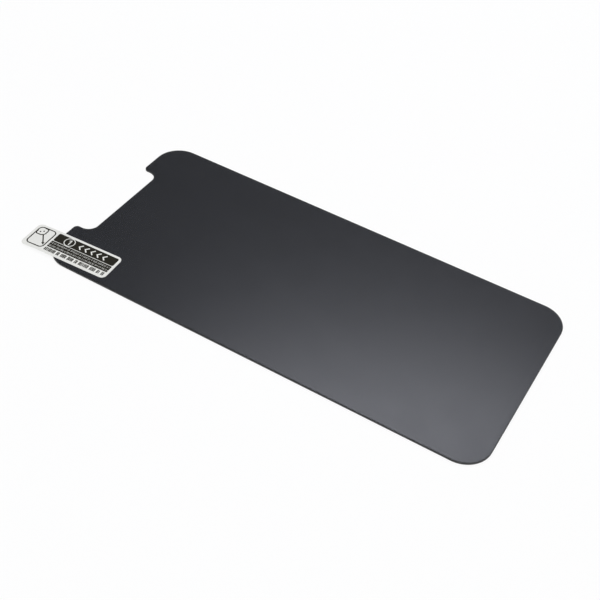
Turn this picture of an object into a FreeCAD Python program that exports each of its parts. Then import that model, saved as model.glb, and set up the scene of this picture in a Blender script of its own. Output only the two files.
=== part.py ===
"""Privacy screen protector for a notched phone, as it comes out of its pack.

A laminate of thin sheets lies with its front face up: a release liner, the silicone that will hold it
to a display, a louvre film, a tempered glass pane whose front edge is ground round, and a clear mask
film over the front. A printed pull label is stuck to the mask film and stands out past the notched
end, where it droops a little.

Millimetres. +X runs across the sheet, +Y along it towards the notched end, +Z out of the front.
The origin is the centre of the underside.
"""

import FreeCAD, Part
import math
import os
from types import SimpleNamespace

import Sketcher

# Driving dimensions, in millimetres and degrees
DIMENSIONS = {
    "sheet_width": 67.0,
    "sheet_length": 142.6,
    "corner_radius": 8.2,
    "notch_width": 34.2,
    "notch_depth": 5.65,
    "notch_mouth_radius": 1.4,
    "notch_floor_radius": 3.4,
    "liner_thickness": 0.05,
    "adhesive_thickness": 0.06,
    "louvre_thickness": 0.18,
    "glass_thickness": 0.33,
    "edge_rounding": 0.12,
    "mask_thickness": 0.05,
    "film_inset": 0.05,
    "mask_setback": 0.1,
    "label_width": 10.1,
    "label_length": 30.5,
    "label_overhang": 9.0,
    "label_corner_radius": 1.6,
    "label_thickness": 0.1,
    "label_droop": 0.3,
    "label_side_offset": 6.15,
    "label_tilt": 2.6,
}

# Roundings, each held back by the wall that carries it
FULL_WALL = 0.9
EDGE_ROUND = f"min(dims.edge_rounding; {FULL_WALL} * dims.glass_thickness)"
MOUTH_ROUND = "min(dims.notch_mouth_radius; dims.notch_depth / 2)"
FLOOR_ROUND = f"min(dims.notch_floor_radius; {FULL_WALL} * (dims.notch_depth - {MOUTH_ROUND}))"
EAR_WIDTH = "(dims.sheet_width - dims.notch_width) / 2"
CORNER_ROUND = f"min(dims.corner_radius; {FULL_WALL} * ({EAR_WIDTH} - {MOUTH_ROUND}))"
LABEL_ROUND = f"min(dims.label_corner_radius; {FULL_WALL} * dims.label_width / 2)"

# The sheets from the underside up: label, thickness, and how far the edge stands in from the outline
GLASS = "tempered_glass"
STACK = (
    ("release_liner", "dims.liner_thickness", "0"),
    ("silicone_adhesive", "dims.adhesive_thickness", "dims.film_inset"),
    ("louvre_film", "dims.louvre_thickness", "dims.film_inset"),
    (GLASS, "dims.glass_thickness", "0"),
    ("front_mask_film", "dims.mask_thickness", f"{EDGE_ROUND} + dims.mask_setback"),
)

# How a sketch names its own origin, and the points of a line or an arc
ORIGIN = (-1, 1)
START, END, CENTRE = 1, 2, 3

RIGHT_ANGLE = math.pi / 2


def add_dimensions(doc):
    """The spreadsheet that every size of the model is bound to."""
    sheet = doc.addObject("Spreadsheet::Sheet", "dims")
    for row, (name, value) in enumerate(DIMENSIONS.items(), start=1):
        sheet.set(f"A{row}", name)
        sheet.set(f"B{row}", str(value))
        sheet.setAlias(f"B{row}", name)
    doc.recompute()
    return sheet


def values_of(dims, sizes):
    """Present values of named expressions, to draw a sketch where its constraints will hold it."""
    return SimpleNamespace(**{name: dims.evalExpression(text) for name, text in sizes.items()})


def add_body(doc, label):
    body = doc.addObject("PartDesign::Body", label)
    body.Label = label
    return body


def add_sketch(body, name, role):
    """An empty sketch on one of the body's own origin planes."""
    sketch = body.newObject("Sketcher::SketchObject", name)
    plane = next(feature for feature in body.Origin.OriginFeatures if feature.Role == role)
    sketch.AttachmentSupport = (plane, [""])
    sketch.MapMode = "FlatFace"
    sketch.Visibility = False
    return sketch


def constrain(sketch, name, expression, *constraint):
    """Adds a named size to a sketch and binds it to the spreadsheet."""
    index = sketch.addConstraint(Sketcher.Constraint(*constraint))
    sketch.renameConstraint(index, name)
    sketch.setExpression(f"Constraints.{name}", expression)


def line(x0, y0, x1, y1):
    return Part.LineSegment(FreeCAD.Vector(x0, y0, 0), FreeCAD.Vector(x1, y1, 0))


def arc(x, y, radius, start_angle, end_angle):
    circle = Part.Circle(FreeCAD.Vector(x, y, 0), FreeCAD.Vector(0, 0, 1), radius)
    return Part.ArcOfCircle(circle, start_angle, end_angle)


def quarter(x, y, radius, quadrant):
    """A quarter circle about x, y in one quadrant, counted anticlockwise from 0."""
    return arc(x, y, radius, quadrant * RIGHT_ANGLE, (quadrant + 1) * RIGHT_ANGLE)


def draw_sheet_outline(sketch, dims, inset):
    """Rounded rectangle with a notch in its +Y end, all of it standing in by inset.

    The outline is a chain of eight straight runs joined by eight tangent arcs, anticlockwise from the
    -Y end. The arcs at the notch's floor are hollow, so the chain passes them from end to start. An
    inset makes the round corners tighter and the hollow ones wider.
    """
    sizes = {
        "half_width": f"dims.sheet_width / 2 - ({inset})",
        "half_length": f"dims.sheet_length / 2 - ({inset})",
        "half_notch": f"dims.notch_width / 2 + ({inset})",
        "floor_reach": f"dims.sheet_length / 2 - dims.notch_depth - ({inset})",
        "corner": f"{CORNER_ROUND} - ({inset})",
        "mouth": f"{MOUTH_ROUND} - ({inset})",
        "hollow": f"{FLOOR_ROUND} + ({inset})",
    }
    at = values_of(dims, sizes)
    corner_x, corner_y = at.half_width - at.corner, at.half_length - at.corner
    mouth_x, mouth_y = at.half_notch + at.mouth, at.half_length - at.mouth
    hollow_x, hollow_y = at.half_notch - at.hollow, at.floor_reach + at.hollow

    chain = [
        line(-corner_x, -at.half_length, corner_x, -at.half_length),
        quarter(corner_x, -corner_y, at.corner, 3),
        line(at.half_width, -corner_y, at.half_width, corner_y),
        quarter(corner_x, corner_y, at.corner, 0),
        line(corner_x, at.half_length, mouth_x, at.half_length),
        quarter(mouth_x, mouth_y, at.mouth, 1),
        line(at.half_notch, mouth_y, at.half_notch, hollow_y),
        quarter(hollow_x, hollow_y, at.hollow, 3),
        line(hollow_x, at.floor_reach, -hollow_x, at.floor_reach),
        quarter(-hollow_x, hollow_y, at.hollow, 2),
        line(-at.half_notch, hollow_y, -at.half_notch, mouth_y),
        quarter(-mouth_x, mouth_y, at.mouth, 0),
        line(-mouth_x, at.half_length, -corner_x, at.half_length),
        quarter(-corner_x, corner_y, at.corner, 1),
        line(-at.half_width, corner_y, -at.half_width, -corner_y),
        quarter(-corner_x, -corner_y, at.corner, 2),
    ]
    runs = range(0, len(chain), 2)
    near_end, right_side, right_ear, right_wall, notch_floor, left_wall, left_ear, left_side = runs
    corners, mouths, hollows = (1, 3, 13, 15), (5, 11), (7, 9)
    sketch.addGeometry(chain, False)

    for index in range(len(chain)):
        following = (index + 1) % len(chain)
        leaves = START if index in hollows else END
        enters = END if following in hollows else START
        sketch.addConstraint(Sketcher.Constraint("Tangent", index, leaves, following, enters))
    for run in (near_end, right_ear, notch_floor, left_ear):
        sketch.addConstraint(Sketcher.Constraint("Horizontal", run))
    for run in (right_side, right_wall, left_wall, left_side):
        sketch.addConstraint(Sketcher.Constraint("Vertical", run))

    places = (
        ("right_reach", "half_width", "DistanceX", ORIGIN, (right_side, START)),
        ("left_reach", "half_width", "DistanceX", (left_side, START), ORIGIN),
        ("near_reach", "half_length", "DistanceY", (near_end, START), ORIGIN),
        ("right_ear_reach", "half_length", "DistanceY", ORIGIN, (right_ear, START)),
        ("left_ear_reach", "half_length", "DistanceY", ORIGIN, (left_ear, START)),
        ("right_wall_reach", "half_notch", "DistanceX", ORIGIN, (right_wall, START)),
        ("left_wall_reach", "half_notch", "DistanceX", (left_wall, START), ORIGIN),
        ("notch_floor_reach", "floor_reach", "DistanceY", ORIGIN, (notch_floor, START)),
    )
    for name, size, kind, first, second in places:
        constrain(sketch, name, sizes[size], kind, *first, *second, getattr(at, size))
    for size, arcs in (("corner", corners), ("mouth", mouths), ("hollow", hollows)):
        constrain(sketch, f"{size}_radius", sizes[size], "Radius", arcs[0], getattr(at, size))
        for other in arcs[1:]:
            sketch.addConstraint(Sketcher.Constraint("Equal", arcs[0], other))


def add_sheet(doc, dims, label, thickness, inset, level):
    """One sheet of the stack: its outline padded to its thickness, at its level."""
    body = add_body(doc, label)
    body.setExpression("Placement.Base.z", level)
    outline = add_sketch(body, f"{label}_outline", "XY_Plane")
    draw_sheet_outline(outline, dims, inset)
    pad = body.newObject("PartDesign::Pad", f"{label}_pad")
    pad.Profile = outline
    pad.setExpression("Length", thickness)
    doc.recompute()
    return body


def round_front_edge(doc, body):
    """Grinds the front edge of the pane, round its whole outline and through the notch."""
    pad = body.Tip
    front = max(pad.Shape.Faces, key=lambda face: face.CenterOfMass.z)
    edges = [f"Edge{n}" for n, edge in enumerate(pad.Shape.Edges, start=1) if holds(front, edge)]
    rounding = body.newObject("PartDesign::Fillet", f"{body.Label}_front_edge")
    rounding.Base = (pad, edges)
    rounding.setExpression("Radius", EDGE_ROUND)
    doc.recompute()


def holds(face, edge):
    """Whether an edge is one of a face's own."""
    return any(own.isSame(edge) for own in face.Edges)


def draw_label_side_view(sketch, dims):
    """A strip of one thickness: straight up to the sheet's end, then bent down on one arc."""
    sizes = {
        "stuck": "dims.label_length - dims.label_overhang",
        "overhang": "dims.label_overhang",
        "droop": "dims.label_droop",
        "thickness": "dims.label_thickness",
    }
    at = values_of(dims, sizes)
    bend_radius = (at.overhang**2 + at.droop**2) / (2 * at.droop)
    turn = math.asin(at.overhang / bend_radius)
    upper_x = at.overhang + at.thickness * math.sin(turn)
    upper_y = at.thickness * math.cos(turn) - at.droop
    tip_angle = RIGHT_ANGLE - turn

    under, under_bend, tip, upper_bend, upper, stuck_end = range(6)
    strip = [
        line(-at.stuck, 0, 0, 0),
        arc(0, -bend_radius, bend_radius, tip_angle, RIGHT_ANGLE),
        line(at.overhang, -at.droop, upper_x, upper_y),
        arc(0, -bend_radius, bend_radius + at.thickness, tip_angle, RIGHT_ANGLE),
        line(0, at.thickness, -at.stuck, at.thickness),
        line(-at.stuck, at.thickness, -at.stuck, 0),
    ]
    sketch.addGeometry(strip, False)

    relations = (
        ("Coincident", under, END, *ORIGIN),
        ("Tangent", under, END, under_bend, END),
        ("Coincident", under_bend, START, tip, START),
        ("Perpendicular", under_bend, tip),
        ("Coincident", tip, END, upper_bend, START),
        ("Coincident", under_bend, CENTRE, upper_bend, CENTRE),
        ("Tangent", upper_bend, END, upper, START),
        ("Coincident", upper, END, stuck_end, START),
        ("Coincident", stuck_end, END, under, START),
        ("Horizontal", under),
        ("Vertical", stuck_end),
    )
    for relation in relations:
        sketch.addConstraint(Sketcher.Constraint(*relation))
    constrain(sketch, "stuck_length", sizes["stuck"], "DistanceX", under, START, under, END, at.stuck)
    constrain(sketch, "overhang", sizes["overhang"], "DistanceX", *ORIGIN, tip, START, at.overhang)
    constrain(sketch, "droop", sizes["droop"], "DistanceY", tip, START, *ORIGIN, at.droop)
    strip_ends = (stuck_end, END, stuck_end, START)
    constrain(sketch, "thickness", sizes["thickness"], "DistanceY", *strip_ends, at.thickness)


def add_label(doc, dims, level):
    """Pull label: flat where it is stuck to the mask film, drooping past the end of the sheet.

    Its own Y runs along the label, and its origin is where its centre line leaves the sheet. The side
    view is padded to the label's width, and then the four corners are rounded.
    """
    body = add_body(doc, "pull_label")
    body.setExpression("Placement.Base.x", "(dims.label_side_offset - dims.sheet_width / 2) * 1 mm")
    body.setExpression("Placement.Base.y", "dims.sheet_length / 2 * 1 mm")
    body.setExpression("Placement.Base.z", level)
    body.setExpression("Placement.Rotation.Angle", "dims.label_tilt * 1 deg")

    side_view = add_sketch(body, "label_side_view", "YZ_Plane")
    draw_label_side_view(side_view, dims)
    strip = body.newObject("PartDesign::Pad", "label_strip")
    strip.Profile = side_view
    strip.Midplane = True
    strip.setExpression("Length", "dims.label_width")
    doc.recompute()

    corners = body.newObject("PartDesign::Fillet", "label_corners")
    corners.Base = (strip, edges_of_length(strip, dims.label_thickness))
    corners.setExpression("Radius", LABEL_ROUND)
    doc.recompute()
    return body


def edges_of_length(feature, length, tolerance=1e-6):
    """Names of a feature's edges of one length: on a strip, those that run through its thickness."""
    return [
        f"Edge{n}"
        for n, edge in enumerate(feature.Shape.Edges, start=1)
        if abs(edge.Length - length) < tolerance
    ]


def check(doc, bodies):
    """Stops unless every feature is sound and every piece is one closed solid."""
    for item in doc.Objects:
        if {"Invalid", "Error"} & set(item.State):
            raise RuntimeError(f"{item.Label} failed: {item.State}")
    for body in bodies:
        shape = body.Shape
        if shape.isNull() or not shape.isValid() or len(shape.Solids) != 1:
            raise RuntimeError(f"{body.Label} is not one sound solid")


def main():
    doc = FreeCAD.newDocument("screen_protector")
    dims = add_dimensions(doc)
    bodies = []
    level = "0 mm"
    for label, thickness, inset in STACK:
        body = add_sheet(doc, dims, label, thickness, inset, level)
        if label == GLASS:
            round_front_edge(doc, body)
        bodies.append(body)
        level = f"{level} + {thickness} * 1 mm"
    bodies.append(add_label(doc, dims, level))
    doc.recompute()
    check(doc, bodies)

    os.makedirs("parts", exist_ok=True)
    for body in bodies:
        body.Shape.exportStep(f"parts/{body.Label}.step")
        box = body.Shape.BoundBox
        print(f"{body.Label}: {body.Shape.Volume:.2f} mm3, z {box.ZMin:.3f} to {box.ZMax:.3f}")


main()
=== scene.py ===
"""Looks of a phone privacy screen protector: its laminated sheets and its printed pull label.

Metres, in the same frame as the solids: +X across the sheet, +Y along it towards the notched end, +Z out
of the front face, with the origin at the centre of the underside.
"""

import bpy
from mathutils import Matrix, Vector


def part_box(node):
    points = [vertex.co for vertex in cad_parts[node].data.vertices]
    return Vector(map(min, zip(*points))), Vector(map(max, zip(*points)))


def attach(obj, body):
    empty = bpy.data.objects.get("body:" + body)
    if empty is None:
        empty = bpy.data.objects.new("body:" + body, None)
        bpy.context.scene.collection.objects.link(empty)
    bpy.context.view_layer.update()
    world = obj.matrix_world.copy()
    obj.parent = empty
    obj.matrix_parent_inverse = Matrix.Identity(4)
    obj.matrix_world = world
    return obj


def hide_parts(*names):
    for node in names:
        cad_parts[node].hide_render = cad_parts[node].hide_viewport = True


bl_info = {
    "name": "Privacy Screen Protector",
    "version": (1, 0, 0),
    "blender": (4, 5, 0),
    "location": "View3D > Sidebar > Protector",
    "description": "Dresses the sheets and the pull label of a privacy screen protector",
    "category": "Object",
}

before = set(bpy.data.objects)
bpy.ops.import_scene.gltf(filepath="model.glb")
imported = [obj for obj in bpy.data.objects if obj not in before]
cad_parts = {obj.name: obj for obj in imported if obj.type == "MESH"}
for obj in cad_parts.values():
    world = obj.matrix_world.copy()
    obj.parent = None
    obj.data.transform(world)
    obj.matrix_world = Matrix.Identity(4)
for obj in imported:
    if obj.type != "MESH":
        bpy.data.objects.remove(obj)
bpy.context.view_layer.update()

import math

import bmesh
import bpy
from bpy.props import FloatProperty, FloatVectorProperty, IntProperty, PointerProperty
from mathutils import Matrix, Vector

MM = 0.001
BODY = "root"
UP = (0.0, 0.0, 1.0)
WHITE = (1.0, 1.0, 1.0)

# Places that the solids give
GLASS_LOW, GLASS_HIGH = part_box("tempered_glass")
MASK_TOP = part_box("front_mask_film")[1].z
LABEL_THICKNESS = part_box("pull_label")[1].z - MASK_TOP

# Passes of ink from the paper up to a print's own top: on bare paper, on a band, on the disc in a band
ON_PAPER, ON_BAND, ON_DISC = 1, 2, 3

# Limits of the mesh work
WELD = 0.001 * MM  # points closer than this become one
CUT_SLACK = 0.0001 * MM  # points this close to a cut lie on it
SHARP_TURN = math.radians(40)  # edges that turn more than this stay sharp
FLAT_FACE = 0.999  # least upright part of a flat face's normal
FRONT_SHARE = 0.9  # edges above this share of a sheet's thickness are its front rim
MITRE_LIMIT = 0.3  # least cosine that a mitre is drawn to

# Names of the sheets' geometry tree and of the attribute that it reads
SHEET_TREE = "protector sheet"
CORNER_ROUND = "corner_round"


# Settings


def length_prop(name, description, size):
    """A length that a user would change, given in millimetres."""
    return FloatProperty(name=name, description=description, default=size * MM, unit="LENGTH", precision=5)


def metres_prop(name, description, sizes):
    """A point, or a pair of lengths, given in metres."""
    return FloatVectorProperty(
        name=name, description=description, default=sizes, size=len(sizes), unit="LENGTH"
    )


def colour_prop(name, description, value):
    """A colour that a user would change."""
    return FloatVectorProperty(
        name=name, description=description, default=value, size=3, min=0.0, max=1.0, subtype="COLOR"
    )


def angle_prop(name, description, degrees):
    """An angle that a user would change, given in degrees."""
    return FloatProperty(name=name, description=description, default=math.radians(degrees), subtype="ANGLE")


def share_prop(name, description, value):
    """A plain factor."""
    return FloatProperty(name=name, description=description, default=value, min=0.0)


def count_prop(name, description, value):
    """A whole number."""
    return IntProperty(name=name, description=description, default=value, min=1)


def lens_prop(name, description, size):
    """A size inside the camera, in millimetres as lenses are marked."""
    return FloatProperty(name=name, description=description, default=size, unit="CAMERA")


class ProtectorSheets(bpy.types.PropertyGroup):
    """Outline and finish of the laminated sheets"""

    corner_radius: length_prop("Corner Radius", "Rounding of the sheet's four corners", 8.2)
    notch_width: length_prop("Notch Width", "Distance between the notch's walls", 34.2)
    notch_depth: length_prop("Notch Depth", "How far the notch cuts into the end", 5.65)
    notch_mouth_radius: length_prop("Mouth Radius", "Rounding where the notch meets the end", 1.4)
    notch_floor_radius: length_prop("Floor Radius", "Rounding at the ends of the notch's floor", 3.4)
    edge_round: length_prop("Edge Round", "Rounding of the glass's front edge", 0.12)
    layer_gap: length_prop("Layer Gap", "Clear space between two sheets", 0.004)
    arc_steps: count_prop("Arc Steps", "Points on each rounded corner", 24)
    edge_steps: count_prop("Edge Steps", "Faces across the ground edge", 8)
    # The liner is a clear film. Its dark tint and heavy cover are painted shade: they darken its rim past the
    # films, where the sheet's lower edge lies in shade.
    liner_shade_tint: colour_prop("Liner Shade Tint", "Colour of the release liner", (0.014, 0.014, 0.0155))
    liner_shade_cover: share_prop("Liner Shade Cover", "How much the liner covers what is behind it", 0.75)
    liner_roughness: share_prop("Liner Roughness", "How soft the liner's gloss is", 0.16)
    silicone_tint: colour_prop("Silicone Tint", "Colour of the silicone coat", (0.02, 0.02, 0.0215))
    silicone_cover: share_prop("Silicone Cover", "How much the silicone covers what is behind it", 0.6)
    silicone_roughness: share_prop("Silicone Roughness", "How soft the silicone's gloss is", 0.3)
    louvre_tint: colour_prop("Louvre Tint", "Colour of the louvre film", (0.006, 0.006, 0.007))
    louvre_roughness: share_prop("Louvre Roughness", "How soft the louvre film's gloss is", 0.32)
    louvre_pitch: length_prop("Louvre Pitch", "Distance between two louvres", 0.12)
    glass_tint: colour_prop("Glass Tint", "Colour of the glass", (0.008, 0.0095, 0.0095))
    rim_cover: share_prop("Rim Cover", "How much the glass's edge and sides cover what is behind them", 0.96)
    rim_roughness: share_prop("Rim Roughness", "How soft the ground edge's gloss is", 0.08)
    bonded_cover: share_prop("Bonded Cover", "How much the glass's flat faces cover what is behind them", 0.5)
    mask_tint: colour_prop("Mask Tint", "Colour of the mask film", (0.0085, 0.0105, 0.0165))
    mask_cover: share_prop("Mask Cover", "How much the mask film covers what is behind it", 0.45)
    mask_roughness: share_prop("Mask Roughness", "How soft the gloss of the front faces is", 0.2735)


class ProtectorLabel(bpy.types.PropertyGroup):
    """Sizes and colours of the pull label and its print"""

    width: length_prop("Width", "Width of the label", 10.1)
    full_length: length_prop("Length", "Length of the label", 30.5)
    overhang: length_prop("Overhang", "How far the label stands out past the sheet", 9.0)
    corner_radius: length_prop("Corner Radius", "Rounding of the label's corners", 1.6)
    corner_steps: count_prop("Corner Steps", "Faces round each of the label's corners", 12)
    droop: length_prop("Droop", "How far the free end hangs down", 0.3)
    bend_step: length_prop("Bend Step", "Longest flat stretch of the bent end", 0.75)
    side_offset: length_prop("Side Offset", "Distance of its centre line from the sheet's side", 6.15)
    tilt: angle_prop("Tilt", "How far the label is turned", 2.6)
    glue_line: length_prop("Glue Line", "Clear space under the label", 0.002)
    ink_level: length_prop("Ink Level", "Thickness of one pass of ink", 0.012)
    ink_key: length_prop("Ink Key", "How far the ink soaks into the stock", 0.004)
    band_start: length_prop("Band Start", "Where the bands begin, past the sheet's end", 1.02)
    band_reach: length_prop("Band Reach", "Where the bands end, in from the sheet's end", 20.66)
    band_top: length_prop("Band Top", "Far edge of the wide band", 4.25)
    band_split: length_prop("Band Split", "Near edge of the pale line between the bands", 0.5)
    band_gap: length_prop("Band Gap", "Width of the pale line between the bands", 0.2)
    band_bottom: length_prop("Band Bottom", "Near edge of the narrow band", -2.31)
    wide_round: length_prop("Wide Round", "Rounding of the wide band's corners", 0.55)
    narrow_round: length_prop("Narrow Round", "Rounding of the narrow band's corners", 0.15)
    ring_across: length_prop("Ring Across", "Place of the ring across the label", 2.43)
    ring_along: length_prop("Ring Along", "Place of the ring, in from the sheet's end", 3.88)
    ring_diameter: length_prop("Ring Diameter", "Outer diameter of the ring", 3.6)
    ring_line: length_prop("Ring Line", "Width of the ring's line", 0.25)
    ring_steps: count_prop("Ring Steps", "Faces round the ring", 64)
    numeral_height: length_prop("Numeral Height", "Height of the numeral", 2.2)
    numeral_stem: length_prop("Numeral Stem", "Width of the numeral's stem", 0.33)
    numeral_flag: length_prop("Numeral Flag", "Reach of the numeral's flag", 0.58)
    chevron_start: length_prop("Chevron Start", "Where the chevrons begin", 7.5)
    chevron_pitch: length_prop("Chevron Pitch", "Distance between two chevrons", 2.15)
    chevron_height: length_prop("Chevron Height", "Height of a chevron", 2.0)
    chevron_line: length_prop("Chevron Line", "Width of a chevron's line", 0.4)
    chevron_slope: share_prop("Chevron Slope", "Reach of a chevron over half its height", 0.9)
    chevron_count: count_prop("Chevron Count", "Number of chevrons", 5)
    fine_height: length_prop("Fine Height", "Height of the fine strokes", 0.7)
    fine_fill: share_prop("Fine Fill", "Width of a fine stroke over their distance", 0.25)
    upper_row: share_prop("Upper Row", "Place of the upper fine row over the narrow band's width", 0.704)
    upper_seed: count_prop("Upper Seed", "Random start of the upper fine row", 11)
    lower_row: share_prop("Lower Row", "Place of the lower fine row over the narrow band's width", 0.281)
    lower_seed: count_prop("Lower Seed", "Random start of the lower fine row", 23)
    bottom_row: length_prop("Bottom Row", "Place of the bottom row across the label", -3.37)
    bottom_height: length_prop("Bottom Height", "Height of the bottom row's strokes", 1.48)
    bottom_fill: share_prop("Bottom Fill", "Width of a bottom row's stroke over their distance", 0.66)
    bottom_seed: count_prop("Bottom Seed", "Random start of the bottom row", 5)
    row_margin: length_prop("Row Margin", "Distance of a row from the start of the bands", 0.24)
    stroke_pitch: share_prop("Stroke Pitch", "Distance between strokes over their height", 0.345)
    gap_share: share_prop("Gap Share", "Share of the strokes that end a group", 0.17)
    gap_width: share_prop("Gap Width", "Space after a group over the strokes' distance", 1.1)
    sign_width: length_prop("Sign Width", "Width of the peel sign", 7.75)
    sign_length: length_prop("Sign Length", "Length of the peel sign", 5.95)
    sign_start: length_prop("Sign Start", "Where the sign begins, past the sheet's end", 1.9)
    sign_shift: length_prop("Sign Shift", "Place of the sign across the label", 0.175)
    sign_round: length_prop("Sign Round", "Rounding of the sign's corners", 1.25)
    sign_fold: length_prop("Sign Fold", "Size of the turned corner", 3.2)
    sign_line: length_prop("Sign Line", "Width of the sign's lines", 0.38)
    sign_lap: share_prop("Sign Lap", "How far a line runs into the one it meets, over its width", 0.4)
    mark_size: length_prop("Mark Size", "Size of a mark on the turned corner", 0.45)
    mark_way: metres_prop("Mark Way", "Way from between the marks to one of them", (0.0003008, -0.0004608))
    mark_across: share_prop("Mark Across", "Place of the marks across the turned corner over its size", 0.56)
    mark_along: share_prop("Mark Along", "Place of the marks along the turned corner over its size", 0.52)
    arrow_across: length_prop("Arrow Across", "Place of the arrow's tip across the sign", 1.22)
    arrow_along: length_prop("Arrow Along", "Place of the arrow's tip along the sign", 0.4)
    arrow_head: length_prop("Arrow Head", "Length of the arrow's head", 1.05)
    paper_tint: colour_prop("Paper Tint", "Colour of the label stock", (0.79, 0.79, 0.75))
    paper_roughness: share_prop("Paper Roughness", "How dull the label stock and its print are", 0.5)
    ink_tint: colour_prop("Ink Tint", "Colour of the black print", (0.0105, 0.0091, 0.0034))
    ink_spread: share_prop("Ink Spread", "How uneven the black print is", 0.2)
    pale_spread: share_prop("Pale Spread", "How uneven the pale print is", 0.02)

    @property
    def stock(self):
        """Thickness of the paper, which leaves the top of the label to its highest print."""
        return LABEL_THICKNESS - ON_DISC * self.ink_level

    def ink_span(self, passes):
        """Where a print begins, a little way into the paper, and where its last pass of ink ends."""
        return self.stock - self.ink_key, self.stock + passes * self.ink_level


class ProtectorStage(bpy.types.PropertyGroup):
    """Floor, lights and camera"""

    floor_radius: length_prop("Floor Radius", "Radius of the flat floor", 1500.0)
    floor_sweep: length_prop("Floor Sweep", "Radius of the floor's upswept rim", 900.0)
    floor_gap: length_prop("Floor Gap", "Clear space between the floor and the object", 0.02)
    floor_tone: share_prop("Floor Tone", "Brightness of the floor's paint", 0.95)
    floor_grain: share_prop("Floor Grain", "How much darker the paint's grain is", 0.01)
    floor_lift: share_prop("Floor Lift", "Share of plain white that the camera sees", 0.85)
    world_level: share_prop("World Level", "Brightness of the light from all round", 0.475)
    light_distance: length_prop("Light Distance", "How far the lights stand from the object", 900.0)
    key_azimuth: angle_prop("Key Azimuth", "Direction of the key light", 16.965)
    key_elevation: angle_prop("Key Elevation", "Height of the key light", 55.726)
    key_roll: angle_prop("Key Roll", "Turn of the key light about its own axis", 8.49)
    key_size: metres_prop("Key Size", "Width and height of the key light", (0.539, 0.193))
    key_level: share_prop("Key Level", "Brightness of the key light's face", 10.0)
    key_tint: colour_prop("Key Tint", "Colour of the key light", (0.89, 0.909, 1.0))
    fill_azimuth: angle_prop("Fill Azimuth", "Direction of the fill light", 205.0)
    fill_elevation: angle_prop("Fill Elevation", "Height of the fill light", 62.0)
    fill_size: metres_prop("Fill Size", "Width and height of the fill light", (1.0, 1.0))
    fill_level: share_prop("Fill Level", "Brightness of the fill light's face", 1.35)
    camera_lens: lens_prop("Lens", "Focal length", 62.117)
    camera_sensor: lens_prop("Sensor", "Width of the picture on the sensor", 36.0)
    camera_place: metres_prop("Camera Place", "Where the camera stands", (-0.196848, -0.098465, 0.212216))
    camera_aim: metres_prop("Camera Aim", "Point at the picture's centre", (-0.005474, -0.001788, 0.0))
    camera_roll: angle_prop("Camera Roll", "Turn about the line of sight", 5.59)
    camera_range: metres_prop("Camera Range", "Nearest and farthest distance that is drawn", (0.01, 50.0))


# Node building


def maths(operation, swapped=False):
    """A method that adds a Math node, with its operands the other way round where swapped."""

    def method(self, *others):
        operands = (*others, self) if swapped else (self, *others)
        return self.graph.node("ShaderNodeMath", dict(enumerate(operands)), operation=operation)

    return method


class Value:
    """A node's output socket that adds Math nodes when it is used in an expression."""

    def __init__(self, graph, socket):
        self.graph = graph
        self.socket = socket

    __add__, __radd__ = maths("ADD"), maths("ADD", swapped=True)
    __sub__, __rsub__ = maths("SUBTRACT"), maths("SUBTRACT", swapped=True)
    __mul__, __rmul__ = maths("MULTIPLY"), maths("MULTIPLY", swapped=True)
    __truediv__ = maths("DIVIDE")
    __gt__ = maths("GREATER_THAN")
    larger = maths("MAXIMUM")
    sine = maths("SINE")


class Graph:
    """A node tree, and the one method that adds a node to it."""

    # Mix and Random Value have sockets of one name for each type of value, so these go by number
    COLOUR_A, COLOUR_B, COLOUR_RESULT = 6, 7, 2
    TRUE_OR_FALSE = 3

    def __init__(self, tree):
        self.tree = tree

    def node(self, kind, inputs=None, output=0, **settings):
        """Adds a node, sets its settings, then its sockets by name or number, and gives one output."""
        made = self.tree.nodes.new(kind)
        for name, setting in settings.items():
            setattr(made, name, setting)
        for key, value in (inputs or {}).items():
            self.feed(made.inputs[key], value)
        return Value(self, made.outputs[output]) if made.outputs else None

    def feed(self, socket, value):
        """Links a value, or each of a list of values, to a socket, or sets a number or colour on it."""
        if isinstance(value, list):
            for part in value:
                self.feed(socket, part)
        elif isinstance(value, Value):
            self.tree.links.new(value.socket, socket)
        else:
            socket.default_value = value

    def also(self, value, output):
        """Another output of the node that a value came from."""
        return Value(self, value.socket.node.outputs[output])

    def mix_colour(self, factor, first, second):
        """Blends two colours, each a value or an RGBA tuple."""
        inputs = {"Factor": factor, self.COLOUR_A: first, self.COLOUR_B: second}
        return self.node("ShaderNodeMix", inputs, self.COLOUR_RESULT, data_type="RGBA")


# Materials


class Finish(Graph):
    """A material with one Principled shader, and the patterns that its surfaces share."""

    def __init__(self, name):
        self.material = bpy.data.materials.new(name)
        self.material.use_nodes = True
        super().__init__(self.material.node_tree)
        self.shader = self.tree.nodes["Principled BSDF"]
        self.place = self.node("ShaderNodeTexCoord", output="Object")

    def set(self, **sockets):
        """Feeds sockets of the shader, by their names with _ for a space."""
        for name, value in sockets.items():
            self.feed(self.shader.inputs[name.replace("_", " ")], value)

    def noise(self, size, detail=2.0, lengthwise=1.0):
        """Soft noise from 0 to 1, with features of about the given size in metres.

        Where lengthwise is under 1, the features are drawn out along the sheet.
        """
        place = self.place
        if lengthwise != 1.0:
            drawn_out = {"Vector": place, "Scale": (1.0, lengthwise, 1.0)}
            place = self.node("ShaderNodeMapping", drawn_out)
        inputs = {"Vector": place, "Scale": 1.0 / size, "Detail": detail}
        return self.node("ShaderNodeTexNoise", inputs)

    def blend(self, first, second, share):
        """Two patterns in one, with the given share of the first."""
        return share * first + (1 - share) * second

    def shades(self, pattern, tint, spread):
        """A tint that runs from darker to lighter by spread as a pattern runs from 0 to 1."""
        return self.mix_colour(pattern, rgba(tint, 1 - spread), rgba(tint, 1 + spread))

    def swing(self, pattern, amount):
        """A pattern from 0 to 1 as a swing about 0, of the given amount from end to end."""
        return amount * (pattern - 0.5)

    def relief(self, height, depth, strength=1.0):
        """Bumps of the given depth in metres where height is 1."""
        inputs = {"Height": height, "Distance": depth, "Strength": strength}
        return self.node("ShaderNodeBump", inputs)


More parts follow.
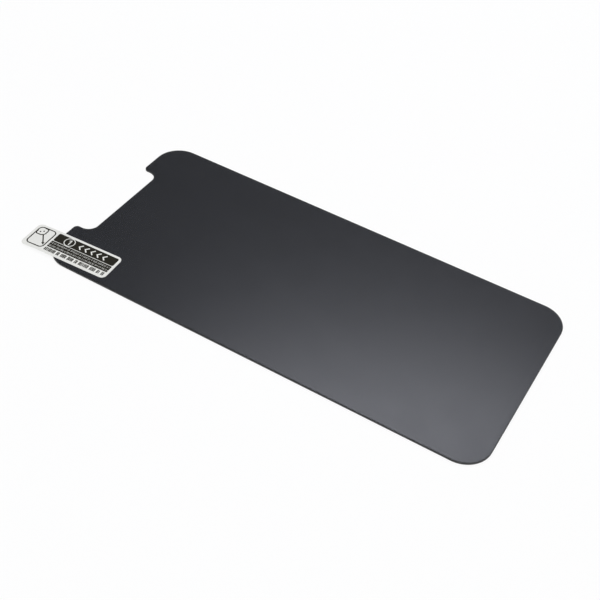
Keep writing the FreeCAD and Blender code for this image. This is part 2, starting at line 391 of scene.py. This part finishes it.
def rgba(colour, brightness=1.0):
    return (colour[0] * brightness, colour[1] * brightness, colour[2] * brightness, 1.0)


def clear_film(name, tint, cover, roughness):
    """Thin clear film: a faint uneven haze, a soft gloss and a fine rolled grain."""
    finish = Finish(name)
    haze = finish.noise(size=9 * MM, detail=3.0)
    rolled = finish.noise(size=0.6 * MM, lengthwise=0.25)
    gloss = roughness + finish.swing(haze, amount=0.05) + finish.swing(rolled, amount=0.04)
    finish.set(Base_Color=finish.shades(haze, tint, spread=0.15), Roughness=gloss)
    finish.set(Normal=finish.relief(rolled, depth=0.0006 * MM), Alpha=cover, IOR=1.5)
    return finish.material


def louvre_film(name, tint, roughness, pitch):
    """Near-black film whose upright louvres run along the sheet as fine lines."""
    finish = Finish(name)
    across = finish.node("ShaderNodeSeparateXYZ", {0: finish.place}, output="X")
    slats = 0.5 + 0.5 * (across * (math.tau / pitch)).sine()
    streaks = finish.noise(size=4 * MM, lengthwise=0.05)
    uneven = finish.blend(slats, streaks, share=0.6)
    finish.set(Base_Color=finish.shades(uneven, tint, spread=0.4))
    finish.set(Roughness=roughness + finish.swing(slats, amount=0.08))
    finish.set(Normal=finish.relief(slats, depth=0.0004 * MM))
    return finish.material


def smoked_glass(name, tint, cover, roughness):
    """Dark glass with the faint drag of the polishing pad."""
    finish = Finish(name)
    drag = finish.noise(size=1.5 * MM, detail=3.0, lengthwise=0.3)
    finish.set(Base_Color=finish.shades(drag, tint, spread=0.08))
    finish.set(Roughness=roughness + finish.swing(drag, amount=0.04), Alpha=cover, IOR=1.5)
    return finish.material


def label_paper(name, tint, roughness):
    """Coated label stock: fine fibres, a little mottling and a dull coat."""
    fibre_cover, fibre_shade = 0.5, 0.97
    finish = Finish(name)
    fibres = finish.noise(size=0.22 * MM, detail=4.0, lengthwise=0.35)
    mottled = finish.shades(finish.noise(size=2.5 * MM), tint, spread=0.015)
    finish.set(Base_Color=finish.mix_colour(fibre_cover * fibres, mottled, rgba(tint, fibre_shade)))
    finish.set(Roughness=roughness + finish.swing(fibres, amount=0.1))
    finish.set(Normal=finish.relief(fibres, depth=0.002 * MM, strength=0.5))
    return finish.material


def print_ink(name, tint, spread, roughness):
    """Printed ink: slightly uneven cover over the paper's fibres. It is made once under its name."""
    if name in bpy.data.materials:
        return bpy.data.materials[name]
    finish = Finish(name)
    grain = finish.noise(size=0.3 * MM, detail=3.0)
    uneven = finish.blend(grain, finish.noise(size=3 * MM), share=0.6)
    finish.set(Base_Color=finish.shades(uneven, tint, spread), Specular_IOR_Level=0.12)
    finish.set(Roughness=roughness + finish.swing(grain, amount=0.12))
    finish.set(Normal=finish.relief(grain, depth=0.001 * MM, strength=0.5))
    return finish.material


def black_ink(label):
    return print_ink("black ink", label.ink_tint, label.ink_spread, label.paper_roughness)


def pale_print(label):
    return print_ink("pale print", label.paper_tint, label.pale_spread, label.paper_roughness)


# Meshes


def new_object(name, data):
    """An object of the scene, at the origin."""
    made = bpy.data.objects.new(name, data)
    bpy.context.scene.collection.objects.link(made)
    return made


def add_piece(name, mesh, material, replaces=()):
    """Links a finished mesh as a piece of the object, riding on its body."""
    mesh.name = name
    piece = new_object(name, mesh)
    mesh.materials.clear()
    mesh.materials.append(material)
    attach(piece, BODY)
    if replaces:
        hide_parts(*replaces)
    return piece


def mesh_from(bm):
    """A plain mesh from a bmesh, with flat faces that point outwards."""
    bmesh.ops.recalc_face_normals(bm, faces=bm.faces)
    for face in bm.faces:
        face.smooth = False
    mesh = bpy.data.meshes.new("mesh")
    bm.to_mesh(mesh)
    bm.free()
    return mesh


def smooth_curves(mesh):
    """Shades a mesh smooth, apart from its sharp edges."""
    mesh.shade_smooth()
    mesh.set_sharp_from_angle(angle=SHARP_TURN)


def plain_mesh(carrier):
    """The mesh that an object's modifiers make, with the carrier object removed."""
    bpy.context.view_layer.update()
    depsgraph = bpy.context.evaluated_depsgraph_get()
    mesh = bpy.data.meshes.new_from_object(carrier.evaluated_get(depsgraph), depsgraph=depsgraph)
    source = carrier.data
    bpy.data.objects.remove(carrier)
    bpy.data.meshes.remove(source)
    return mesh


def carrier_of(mesh, tree, settings):
    """An object with a geometry tree on it. Settings go by the inputs' names."""
    carrier = new_object("carrier", mesh)
    modifier = carrier.modifiers.new("tree", "NODES")
    modifier.node_group = tree
    for item in tree.interface.items_tree:
        if item.in_out == "INPUT" and item.name in settings:
            modifier[item.identifier] = settings[item.name]
    return carrier


def new_geometry_tree(name, inputs):
    """An empty geometry tree with inputs, each a name and a type. Gives its graph and its inputs."""
    tree = bpy.data.node_groups.new(name, "GeometryNodeTree")
    tree.interface.new_socket("Geometry", in_out="INPUT", socket_type="NodeSocketGeometry")
    for label, kind in inputs.items():
        tree.interface.new_socket(label, in_out="INPUT", socket_type=f"NodeSocket{kind}")
    tree.interface.new_socket("Geometry", in_out="OUTPUT", socket_type="NodeSocketGeometry")
    graph = Graph(tree)
    first = graph.node("NodeGroupInput", output="Geometry")
    values = {label: graph.also(first, label) for label in inputs}
    values["Geometry"] = first
    return graph, values


def end_tree(graph, geometry, material):
    """Ends a geometry tree: real geometry, with its material."""
    real = graph.node("GeometryNodeRealizeInstances", {"Geometry": geometry})
    painted = graph.node("GeometryNodeSetMaterial", {"Geometry": real, "Material": material})
    graph.node("NodeGroupOutput", {"Geometry": painted})
    return graph.tree


# The sheets


def sheet_tree():
    """Geometry tree of a sheet: rounds the corners of a loop, fills it and raises it.

    Each corner's radius is read from the loop's corner_round attribute. The front rim's edges get a
    bevel weight, for a pane whose front edge is ground round.
    """
    inputs = {"Base Height": "Float", "Thickness": "Float", "Arc Steps": "Int", "Material": "Material"}
    graph, given = new_geometry_tree(SHEET_TREE, inputs)
    radius = graph.node("GeometryNodeInputNamedAttribute", {"Name": CORNER_ROUND}, data_type="FLOAT")
    loop = graph.node("GeometryNodeMeshToCurve", {"Mesh": given["Geometry"]})
    corners = {"Curve": loop, "Count": given["Arc Steps"], "Radius": radius}
    rounded = graph.node("GeometryNodeFilletCurve", corners, mode="POLY")
    face = graph.node("GeometryNodeFillCurve", {"Curve": rounded}, mode="NGONS")

    thickness = given["Thickness"]
    upwards = {"Mesh": face, "Offset": UP, "Offset Scale": thickness, "Individual": False}
    raised = graph.node("GeometryNodeExtrudeMesh", upwards, mode="FACES")
    under = graph.node("GeometryNodeFlipFaces", {"Mesh": face})
    joined = graph.node("GeometryNodeJoinGeometry", {"Geometry": [raised, under]})
    closed = graph.node("GeometryNodeMergeByDistance", {"Geometry": joined, "Distance": WELD})

    position = graph.node("GeometryNodeInputPosition")
    height = graph.node("ShaderNodeSeparateXYZ", {0: position}, output="Z")
    front = {"Geometry": closed, "Name": "bevel_weight_edge", "Value": height > FRONT_SHARE * thickness}
    weighed = graph.node("GeometryNodeStoreNamedAttribute", front, data_type="FLOAT", domain="EDGE")
    lift = graph.node("ShaderNodeCombineXYZ", {"Z": given["Base Height"]})
    placed = graph.node("GeometryNodeSetPosition", {"Geometry": weighed, "Offset": lift})
    return end_tree(graph, placed, given["Material"])


def corner_loop(sizes, inset):
    """The sheet's sharp outline as a loop of eight corners, each with its rounding, drawn in by inset."""
    half_width = GLASS_HIGH.x - inset
    half_length = GLASS_HIGH.y - inset
    half_notch = sizes.notch_width / 2 + inset
    floor = GLASS_HIGH.y - sizes.notch_depth - inset
    corner = sizes.corner_radius - inset
    mouth = sizes.notch_mouth_radius - inset
    hollow = sizes.notch_floor_radius + inset
    right = [
        (half_width, -half_length, corner),
        (half_width, half_length, corner),
        (half_notch, half_length, mouth),
        (half_notch, floor, hollow),
    ]
    left = [(-x, y, radius) for x, y, radius in reversed(right)]
    corners = right + left
    mesh = bpy.data.meshes.new("corner_loop")
    edges = [(i, (i + 1) % len(corners)) for i in range(len(corners))]
    mesh.from_pydata([(x, y, 0.0) for x, y, _ in corners], edges, [])
    rounding = mesh.attributes.new(CORNER_ROUND, "FLOAT", "POINT")
    rounding.data.foreach_set("value", [radius for _, _, radius in corners])
    return mesh


def make_sheet(context, name, node, material, edge_round=0.0):
    """One sheet of the laminate in its node's place, a hair's breadth clear of its neighbours."""
    sizes = context.scene.protector_sheets
    low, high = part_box(node)
    gap = sizes.layer_gap
    settings = {
        "Base Height": low.z + gap / 2,
        "Thickness": high.z - low.z - gap,
        "Arc Steps": sizes.arc_steps,
        "Material": material,
    }
    tree = bpy.data.node_groups.get(SHEET_TREE) or sheet_tree()
    inset = GLASS_HIGH.x - high.x
    carrier = carrier_of(corner_loop(sizes, inset), tree, settings)
    if edge_round:
        ground = carrier.modifiers.new("ground edge", "BEVEL")
        ground.limit_method = "WEIGHT"
        ground.width = edge_round
        ground.segments = sizes.edge_steps
        ground.use_clamp_overlap = False
        ground.harden_normals = True
    mesh = plain_mesh(carrier)
    smooth_curves(mesh)
    return add_piece(name, mesh, material, replaces=(node,))


class PROTECTOR_OT_backing_sheets(bpy.types.Operator):
    """Makes the release liner, the silicone coat and the louvre film"""

    bl_idname = "protector.backing_sheets"
    bl_label = "Backing Sheets"

    def execute(self, context):
        sizes = context.scene.protector_sheets
        # The clear liner is darkened by its tint and cover as painted shade along the sheet's lower edge.
        liner = clear_film("liner film", sizes.liner_shade_tint, sizes.liner_shade_cover, sizes.liner_roughness)
        silicone = clear_film(
            "silicone coat", sizes.silicone_tint, sizes.silicone_cover, sizes.silicone_roughness
        )
        louvres = louvre_film("louvre film", sizes.louvre_tint, sizes.louvre_roughness, sizes.louvre_pitch)
        make_sheet(context, "liner_sheet", "release_liner", liner)
        make_sheet(context, "silicone_coat", "silicone_adhesive", silicone)
        make_sheet(context, "louvre_sheet", "louvre_film", louvres)
        return {"FINISHED"}


class PROTECTOR_OT_glass_pane(bpy.types.Operator):
    """Makes the tempered glass pane with its ground front edge"""

    bl_idname = "protector.glass_pane"
    bl_label = "Glass Pane"

    def execute(self, context):
        sizes = context.scene.protector_sheets
        rim = smoked_glass("polished glass", sizes.glass_tint, sizes.rim_cover, sizes.rim_roughness)
        bonded = smoked_glass("bonded glass", sizes.glass_tint, sizes.bonded_cover, sizes.mask_roughness)
        pane = make_sheet(context, "glass_pane", "tempered_glass", rim, sizes.edge_round)
        pane.data.materials.append(bonded)
        for face in pane.data.polygons:
            face.material_index = int(abs(face.normal.z) > FLAT_FACE)
        return {"FINISHED"}


class PROTECTOR_OT_mask_film(bpy.types.Operator):
    """Makes the clear mask film over the front"""

    bl_idname = "protector.mask_film"
    bl_label = "Mask Film"

    def execute(self, context):
        sizes = context.scene.protector_sheets
        film = clear_film("mask film", sizes.mask_tint, sizes.mask_cover, sizes.mask_roughness)
        make_sheet(context, "mask_sheet", "front_mask_film", film)
        return {"FINISHED"}


# The pull label


def rounded_path(corners, closed=True, steps=8):
    """Points through corners (x, y, radius), each corner rounded by its radius."""
    count = len(corners)
    points = []
    for i, (x, y, radius) in enumerate(corners):
        here = Vector((x, y))
        if radius == 0.0 or not closed and i in (0, count - 1):
            points.append(here)
            continue
        before = (Vector(corners[i - 1][:2]) - here).normalized()
        after = (Vector(corners[(i + 1) % count][:2]) - here).normalized()
        half = before.angle(after) / 2
        centre = here + (before + after).normalized() * radius / math.sin(half)
        spoke = here + before * radius / math.tan(half) - centre
        turn = math.copysign(math.pi - 2 * half, before.y * after.x - before.x * after.y)
        for step in range(steps + 1):
            points.append(centre + Matrix.Rotation(turn * step / steps, 2) @ spoke)
    return points


def rounded_rectangle(x0, y0, x1, y1, radius, steps=8):
    """Outline of a rectangle with rounded corners, anticlockwise."""
    corners = [(x1, y0, radius), (x1, y1, radius), (x0, y1, radius), (x0, y0, radius)]
    return rounded_path(corners, steps=steps)


def circle(centre, radius, steps):
    """Outline of a circle, anticlockwise."""
    turns = [i * math.tau / steps for i in range(steps)]
    return [centre + Vector((math.cos(turn), math.sin(turn))) * radius for turn in turns]


def add_prism(bm, outline, low, high):
    """Adds a closed prism over a flat outline."""
    count = len(outline)
    under = [bm.verts.new((x, y, low)) for x, y in outline]
    upper = [bm.verts.new((x, y, high)) for x, y in outline]
    bm.faces.new(reversed(under))
    bm.faces.new(upper)
    for i in range(count):
        j = (i + 1) % count
        bm.faces.new((under[i], under[j], upper[j], upper[i]))


def add_stroke(bm, points, width, low, high, closed=False):
    """Adds a drawn line of one width along flat points, as a closed prism with mitred turns."""
    count = len(points)
    sides = []
    for i, point in enumerate(points):
        here = Vector(point)
        before = Vector(points[i - 1]) if closed or i > 0 else None
        after = Vector(points[(i + 1) % count]) if closed or i < count - 1 else None
        into = (here - before).normalized() if before else (after - here).normalized()
        out = (after - here).normalized() if after else into
        bisector = (into + out).normalized()
        across = Vector((-bisector.y, bisector.x))
        reach = width / 2 / max(MITRE_LIMIT, across.dot(Vector((-into.y, into.x))))
        sides.append((here + across * reach, here - across * reach))
    rings = [
        [bm.verts.new((*side, height)) for side, height in ((a, low), (b, low), (b, high), (a, high))]
        for a, b in sides
    ]
    for i in range(count if closed else count - 1):
        ring, following = rings[i], rings[(i + 1) % count]
        for k in range(len(ring)):
            m = (k + 1) % len(ring)
            bm.faces.new((ring[k], following[k], following[m], ring[m]))
    if not closed:
        bm.faces.new(rings[0])
        bm.faces.new(reversed(rings[-1]))


def lay_on_label(label, bm):
    """Bends a flat drawing with the label's free end, puts it where the label is and makes it a mesh.

    In the drawing, X runs across the label and Y along it, from the line where the sheet ends, and
    heights count from the mask film's face.
    """
    reach, droop = label.overhang, label.droop
    radius = (reach**2 + droop**2) / (2 * droop)
    turn = math.asin(reach / radius)
    cuts = math.ceil(reach / label.bend_step)
    lengthwise = Vector((0.0, 1.0, 0.0))
    for i in range(cuts):
        geometry = bm.verts[:] + bm.edges[:] + bm.faces[:]
        spot = lengthwise * (i * reach / cuts)
        bmesh.ops.bisect_plane(bm, geom=geometry, plane_co=spot, plane_no=lengthwise, dist=CUT_SLACK)
    for vertex in bm.verts:
        x, y, z = vertex.co
        if y > 0:
            angle = turn * y / reach
            vertex.co = (x, (radius + z) * math.sin(angle), (radius + z) * math.cos(angle) - radius)
    place = Matrix.Translation((GLASS_LOW.x + label.side_offset, GLASS_HIGH.y, MASK_TOP))
    bm.transform(place @ Matrix.Rotation(label.tilt, 4, "Z"))
    return mesh_from(bm)


class PROTECTOR_OT_pull_label(bpy.types.Operator):
    """Makes the pull label's stock, stuck down flat and drooping past the sheet's end"""

    bl_idname = "protector.pull_label"
    bl_label = "Pull Label"

    def execute(self, context):
        label = context.scene.protector_label
        half = label.width / 2
        stuck_end = label.overhang - label.full_length
        outline = rounded_rectangle(
            -half, stuck_end, half, label.overhang, label.corner_radius, label.corner_steps
        )
        bm = bmesh.new()
        add_prism(bm, outline, label.glue_line, label.stock)
        mesh = lay_on_label(label, bm)
        smooth_curves(mesh)
        paper = label_paper("label paper", label.paper_tint, label.paper_roughness)
        add_piece("label_strip", mesh, paper, replaces=("pull_label",))
        return {"FINISHED"}


# The label's print


def mark_row_tree():
    """Geometry tree that repeats a drawn mark along a straight row."""
    inputs = {"Count": "Int", "Start": "Vector", "Step": "Vector", "Material": "Material"}
    graph, given = new_geometry_tree("label mark row", inputs)
    line = {"Count": given["Count"], "Start Location": given["Start"], "Offset": given["Step"]}
    row = graph.node("GeometryNodeMeshLine", line, mode="OFFSET", count_mode="TOTAL")
    copies = {"Points": row, "Instance": given["Geometry"]}
    marks = graph.node("GeometryNodeInstanceOnPoints", copies)
    return end_tree(graph, marks, given["Material"])


def stroke_row_tree():
    """Geometry tree of a row of upright strokes in uneven groups."""
    inputs = {
        "Count": "Int",
        "Start": "Vector",
        "Run": "Float",
        "Stroke Size": "Vector",
        "Gap Share": "Float",
        "Gap Width": "Float",
        "Seed": "Int",
        "Material": "Material",
    }
    least, most = (0.86, 0.75, 1.0), (1.0, 1.25, 1.0)
    graph, given = new_geometry_tree("label stroke row", inputs)
    row = graph.node("GeometryNodeMeshLine", {"Count": given["Count"]}, mode="OFFSET", count_mode="TOTAL")
    chance = {"Probability": given["Gap Share"], "Seed": given["Seed"]}
    group_end = graph.node("FunctionNodeRandomValue", chance, graph.TRUE_OR_FALSE, data_type="BOOLEAN")
    advance = 1.0 + given["Gap Width"] * group_end
    place = graph.node("GeometryNodeAccumulateField", {0: advance}, "Trailing", data_type="FLOAT")
    along = place / graph.also(place, "Total") * given["Run"]
    shift = graph.node("ShaderNodeCombineXYZ", {"Y": 0.0 - along})
    where = graph.node("ShaderNodeVectorMath", {0: given["Start"], 1: shift}, operation="ADD")
    spread = graph.node("GeometryNodeSetPosition", {"Geometry": row, "Position": where})
    sizes = {"Min": least, "Max": most, "Seed": given["Seed"]}
    scale = graph.node("FunctionNodeRandomValue", sizes, data_type="FLOAT_VECTOR")
    stroke = graph.node("GeometryNodeMeshCube", {"Size": given["Stroke Size"]})
    copies = {"Points": spread, "Instance": stroke, "Scale": scale}
    strokes = graph.node("GeometryNodeInstanceOnPoints", copies)
    return end_tree(graph, strokes, given["Material"])


def row_mesh(label, tree, source, settings):
    """Runs a row's tree and lays its marks on the label."""
    mesh = plain_mesh(carrier_of(source, tree, settings))
    bm = bmesh.new()
    bm.from_mesh(mesh)
    bpy.data.meshes.remove(mesh)
    return lay_on_label(label, bm)


class PROTECTOR_OT_label_bands(bpy.types.Operator):
    """Prints the two dark bands and the peel sign on the label"""

    bl_idname = "protector.label_bands"
    bl_label = "Label Bands"

    def execute(self, context):
        label = context.scene.protector_label
        low, high = label.ink_span(ON_PAPER)
        inner, outer = -label.band_reach, label.band_start
        wide_bottom = label.band_split + label.band_gap
        bm = bmesh.new()
        wide = rounded_rectangle(wide_bottom, inner, label.band_top, outer, label.wide_round)
        narrow = rounded_rectangle(label.band_bottom, inner, label.band_split, outer, label.narrow_round)
        add_prism(bm, wide, low, high)
        add_prism(bm, narrow, low, high)
        add_peel_sign(bm, label, low, high)
        add_piece("label_bands", lay_on_label(label, bm), black_ink(label))
        return {"FINISHED"}


def add_peel_sign(bm, label, low, high):
    """Draws a sheet with one marked corner turned over, and an arrow that shows which way it is pulled.

    The turned corner's line runs out along the inside of the sheet's own line, and the arrow starts on
    that corner.
    """
    line, fold, bend = label.sign_line, label.sign_fold, label.sign_round
    lap, ease, rounded_off = label.sign_lap * line, 0.6 * bend, 0.25 * bend
    left, right = label.sign_shift - label.sign_width / 2, label.sign_shift + label.sign_width / 2
    near, far = label.sign_start, label.sign_start + label.sign_length
    add_stroke(bm, rounded_rectangle(left, near, right, far, bend), line, low, high, closed=True)
    flap_x, flap_y = right - fold, far - fold
    flap = [
        (flap_x + 2 * ease, far - lap, 0.0),
        (flap_x, far - lap, ease),
        (flap_x, flap_y, bend),
        (right - lap, flap_y, ease),
        (right - lap, flap_y + 2 * ease, 0.0),
    ]
    add_stroke(bm, rounded_path(flap, closed=False), line, low, high)
    tail = Vector((flap_x + rounded_off, flap_y + rounded_off))
    tip = Vector((left + label.arrow_across, near + label.arrow_along))
    add_arrow(bm, label, tail, tip, low, high)
    middle = Vector((right - label.mark_across * fold, far - label.mark_along * fold))
    add_marks(bm, label, middle, low, high)


def add_arrow(bm, label, tail, tip, low, high):
    """Draws an arrow whose head is as wide as it is long. Its line ends inside the head."""
    line, head = label.sign_line, label.arrow_head
    run = (tip - tail).normalized()
    side = Vector((-run.y, run.x))
    neck, barb = tip - run * head, side * head / 2
    add_stroke(bm, [tail, neck + run * label.sign_lap * line], line, low, high)
    add_prism(bm, [tip, neck + barb, neck - barb], low, high)


def add_marks(bm, label, middle, low, high):
    """Draws two small squares on a slant, one on each side of a point of the turned corner."""
    size = label.mark_size
    way = Vector(label.mark_way)
    half = way.normalized() * size / 2
    for place in (middle - way, middle + way):
        add_stroke(bm, [place - half, place + half], size, low, high)


class PROTECTOR_OT_label_numeral(bpy.types.Operator):
    """Prints the ringed step numeral"""

    bl_idname = "protector.label_numeral"
    bl_label = "Label Numeral"

    def execute(self, context):
        label = context.scene.protector_label
        low, disc_top = label.ink_span(ON_BAND)
        _, ring_top = label.ink_span(ON_DISC)
        centre = Vector((label.ring_across, -label.ring_along))
        ring = circle(centre, label.ring_diameter / 2 - label.ring_line / 2, label.ring_steps)
        bm = bmesh.new()
        add_prism(bm, ring, low, disc_top)
        add_piece("label_disc", lay_on_label(label, bm), black_ink(label))
        bm = bmesh.new()
        add_stroke(bm, ring, label.ring_line, low, ring_top, closed=True)
        add_prism(bm, numeral_outline(label, centre), low, ring_top)
        add_piece("label_numeral", lay_on_label(label, bm), pale_print(label))
        return {"FINISHED"}


def numeral_outline(label, centre):
    """Outline of a figure one, a stem with a short falling flag. The two together are centred."""
    stem, flag = label.numeral_stem, label.numeral_flag
    crown, fall, throat = 0.6 * stem / 2, 0.75 * flag, 1.35 * stem
    up, left = Vector((1.0, 0.0)), Vector((0.0, 1.0))
    middle = centre - left * (flag - stem / 2) / 2
    foot = middle - up * label.numeral_height / 2
    head = middle + up * label.numeral_height / 2
    return [
        foot + left * stem / 2,
        foot - left * stem / 2,
        head - left * stem / 2,
        head + left * crown,
        head + left * flag - up * fall,
        head + left * flag - up * (fall + stem),
        head + left * stem / 2 - up * throat,
    ]


class PROTECTOR_OT_label_chevrons(bpy.types.Operator):
    """Prints the row of chevrons that points along the pull"""

    bl_idname = "protector.label_chevrons"
    bl_label = "Label Chevrons"

    def execute(self, context):
        label = context.scene.protector_label
        pale = pale_print(label)
        low, high = label.ink_span(ON_BAND)
        half = label.chevron_height / 2
        point = half * label.chevron_slope
        bm = bmesh.new()
        add_stroke(bm, [(-half, -point), (0.0, 0.0), (half, -point)], label.chevron_line, low, high)
        settings = {
            "Count": label.chevron_count,
            "Start": (label.ring_across, -label.chevron_start, 0.0),
            "Step": (0.0, -label.chevron_pitch, 0.0),
            "Material": pale,
        }
        mesh = row_mesh(label, mark_row_tree(), mesh_from(bm), settings)
        add_piece("label_chevrons", mesh, pale)
        return {"FINISHED"}


class PROTECTOR_OT_label_rows(bpy.types.Operator):
    """Prints the rows of fine strokes below the wide band"""

    bl_idname = "protector.label_rows"
    bl_label = "Label Rows"

    def execute(self, context):
        label = context.scene.protector_label
        tree = stroke_row_tree()
        black, pale = black_ink(label), pale_print(label)
        band = label.band_split - label.band_bottom
        upper = label.band_bottom + label.upper_row * band
        lower = label.band_bottom + label.lower_row * band
        fine = {"height": label.fine_height, "fill": label.fine_fill, "passes": ON_BAND}
        bold = {"height": label.bottom_height, "fill": label.bottom_fill, "passes": ON_PAPER}
        rows = (
            ("label_row_upper", upper, fine, label.upper_seed, pale, "label_stock"),
            ("label_row_lower", lower, fine, label.lower_seed, pale, "label_stock"),
            ("label_row_bottom", label.bottom_row, bold, label.bottom_seed, black, "label_ink"),
        )
        for name, across, strokes, seed, ink, slot in rows:
            settings = row_settings(label, across, **strokes)
            settings.update({"Seed": seed, "Material": ink})
            mesh = row_mesh(label, tree, bpy.data.meshes.new("empty"), settings)
            add_piece(name, mesh, ink)
        return {"FINISHED"}


def row_settings(label, across, height, fill, passes):
    """Inputs of the stroke tree for a row that runs as far as the bands, less a margin at their start."""
    low, high = label.ink_span(passes)
    run = label.band_reach + label.band_start - label.row_margin
    pitch = height * label.stroke_pitch
    return {
        "Count": int(run / pitch / (1 + label.gap_share * label.gap_width)),
        "Start": (across, label.band_start - label.row_margin, (low + high) / 2),
        "Run": run,
        "Stroke Size": (height, pitch * fill, high - low),
        "Gap Share": label.gap_share,
        "Gap Width": label.gap_width,
    }


# The stage


class PROTECTOR_OT_studio(bpy.types.Operator):
    """Makes the pale floor, the soft lights and the camera"""

    bl_idname = "protector.studio"
    bl_label = "Studio"

    def execute(self, context):
        stage = context.scene.protector_stage
        add_floor(stage)
        add_world(context, stage)
        key_way = way_to(stage.key_azimuth, stage.key_elevation)
        key = add_soft_light("key_light", key_way, stage.light_distance, stage.key_size, stage.key_level)
        key.rotation_euler.rotate_axis("Z", stage.key_roll)
        key.data.color = stage.key_tint
        fill_way = way_to(stage.fill_azimuth, stage.fill_elevation)
        add_soft_light("fill_light", fill_way, stage.light_distance, stage.fill_size, stage.fill_level)
        add_camera(context, stage)
        context.scene.view_settings.view_transform = "Standard"
        return {"FINISHED"}


def add_floor(stage, around=96, sweep_steps=12, flat_share=0.9):
    """A round pale floor that sweeps up at its rim, just under the object.

    Its middle is one flat face, and a flat ring keeps the shading of the sweep off it.
    """
    radius, sweep = stage.floor_radius, stage.floor_sweep
    profile = [(flat_share * radius, 0.0)]
    for step in range(sweep_steps + 1):
        turn = step / sweep_steps * math.pi / 2
        profile.append((radius + sweep * math.sin(turn), sweep * (1 - math.cos(turn))))
    bm = bmesh.new()
    rings = []
    for reach, height in profile:
        outline = circle(Vector((0.0, 0.0)), reach, around)
        rings.append([bm.verts.new((x, y, height - stage.floor_gap)) for x, y in outline])
    bm.faces.new(rings[0])
    for ring, following in zip(rings, rings[1:]):
        for k in range(around):
            m = (k + 1) % around
            bm.faces.new((ring[m], ring[k], following[k], following[m]))
    for face in bm.faces:
        face.smooth = True
    mesh = bpy.data.meshes.new("floor")
    bm.to_mesh(mesh)
    bm.free()
    mesh.materials.append(floor_paint(stage))
    floor = new_object("floor", mesh)


def floor_paint(stage):
    """Matt white paint that a camera or a reflection sees as a white sheet with a soft shadow on it."""
    finish = Finish("floor paint")
    light, dark = stage.floor_tone, stage.floor_tone - stage.floor_grain
    colour = finish.mix_colour(finish.noise(size=2 * MM), rgba(WHITE, light), rgba(WHITE, dark))
    finish.set(Base_Color=colour, Roughness=1.0, Specular_IOR_Level=0.0)
    paint = Value(finish, finish.shader.outputs["BSDF"])
    white = finish.node("ShaderNodeEmission", {"Color": rgba(WHITE), "Strength": 1.0})
    ray = finish.node("ShaderNodeLightPath", output="Is Camera Ray")
    seen = ray.larger(finish.also(ray, "Is Glossy Ray")).larger(finish.also(ray, "Is Transmission Ray"))
    mixed = finish.node("ShaderNodeMixShader", {0: stage.floor_lift * seen, 1: paint, 2: white})
    finish.feed(finish.tree.nodes["Material Output"].inputs["Surface"], mixed)
    return finish.material


def add_world(context, stage):
    """Even light from all round."""
    world = bpy.data.worlds.new("studio")
    world.use_nodes = True
    background = world.node_tree.nodes["Background"]
    background.inputs["Color"].default_value = rgba(WHITE)
    background.inputs["Strength"].default_value = stage.world_level
    context.scene.world = world


def way_to(azimuth, elevation):
    """The direction of a light, seen from the object."""
    level = math.cos(elevation)
    return Vector((math.cos(azimuth) * level, math.sin(azimuth) * level, math.sin(elevation)))


def add_soft_light(name, way, distance, size, level):
    """An oval soft box that faces the object, with the brightness of its own face."""
    lamp = bpy.data.lights.new(name, "AREA")
    lamp.shape = "ELLIPSE"
    lamp.size, lamp.size_y = size
    face_area = math.pi / 4 * size[0] * size[1]
    lamp.energy = math.pi * face_area * level
    light = new_object(name, lamp)
    light.location = way * distance
    light.rotation_euler = way.to_track_quat("Z", "Y").to_euler()
    return light


def add_camera(context, stage):
    """The camera, aimed at a point of the sheet and rolled about its line of sight."""
    lens = bpy.data.cameras.new("camera")
    lens.sensor_fit = "HORIZONTAL"
    lens.sensor_width = stage.camera_sensor
    lens.lens = stage.camera_lens
    lens.clip_start, lens.clip_end = stage.camera_range
    forward = (Vector(stage.camera_aim) - Vector(stage.camera_place)).normalized()
    level = forward.cross(Vector(UP)).normalized()
    upward = level.cross(forward)
    roll = stage.camera_roll
    right = level * math.cos(roll) + upward * math.sin(roll)
    up = right.cross(forward)
    turn = Matrix((right, up, -forward)).transposed().to_4x4()
    camera = new_object("camera", lens)
    camera.matrix_world = Matrix.Translation(stage.camera_place) @ turn
    context.scene.camera = camera


# Panel and registration


class PROTECTOR_PT_sidebar(bpy.types.Panel):
    """Lists the settings, and the steps in the order that they are made"""

    bl_label = "Privacy Screen Protector"
    bl_idname = "PROTECTOR_PT_sidebar"
    bl_space_type = "VIEW_3D"
    bl_region_type = "UI"
    bl_category = "Protector"

    def draw(self, context):
        for name, group in SETTINGS.items():
            box = self.layout.box()
            box.label(text=group.__doc__)
            settings = getattr(context.scene, name)
            for setting in group.__annotations__:
                box.prop(settings, setting)
        for operator in OPERATORS:
            self.layout.operator(operator.bl_idname)


OPERATORS = (
    PROTECTOR_OT_backing_sheets,
    PROTECTOR_OT_glass_pane,
    PROTECTOR_OT_mask_film,
    PROTECTOR_OT_pull_label,
    PROTECTOR_OT_label_bands,
    PROTECTOR_OT_label_numeral,
    PROTECTOR_OT_label_chevrons,
    PROTECTOR_OT_label_rows,
    PROTECTOR_OT_studio,
)
SETTINGS = {
    "protector_sheets": ProtectorSheets,
    "protector_label": ProtectorLabel,
    "protector_stage": ProtectorStage,
}
CLASSES = (*SETTINGS.values(), *OPERATORS, PROTECTOR_PT_sidebar)


def register():
    for item in CLASSES:
        bpy.utils.register_class(item)
    for name, group in SETTINGS.items():
        setattr(bpy.types.Scene, name, PointerProperty(type=group))


def unregister():
    for name in SETTINGS:
        delattr(bpy.types.Scene, name)
    for item in reversed(CLASSES):
        bpy.utils.unregister_class(item)


def main():
    register()
    bpy.ops.protector.backing_sheets()
    bpy.ops.protector.glass_pane()
    bpy.ops.protector.mask_film()
    bpy.ops.protector.pull_label()
    bpy.ops.protector.label_bands()
    bpy.ops.protector.label_numeral()
    bpy.ops.protector.label_chevrons()
    bpy.ops.protector.label_rows()
    bpy.ops.protector.studio()


if __name__ == "__main__":
    main()
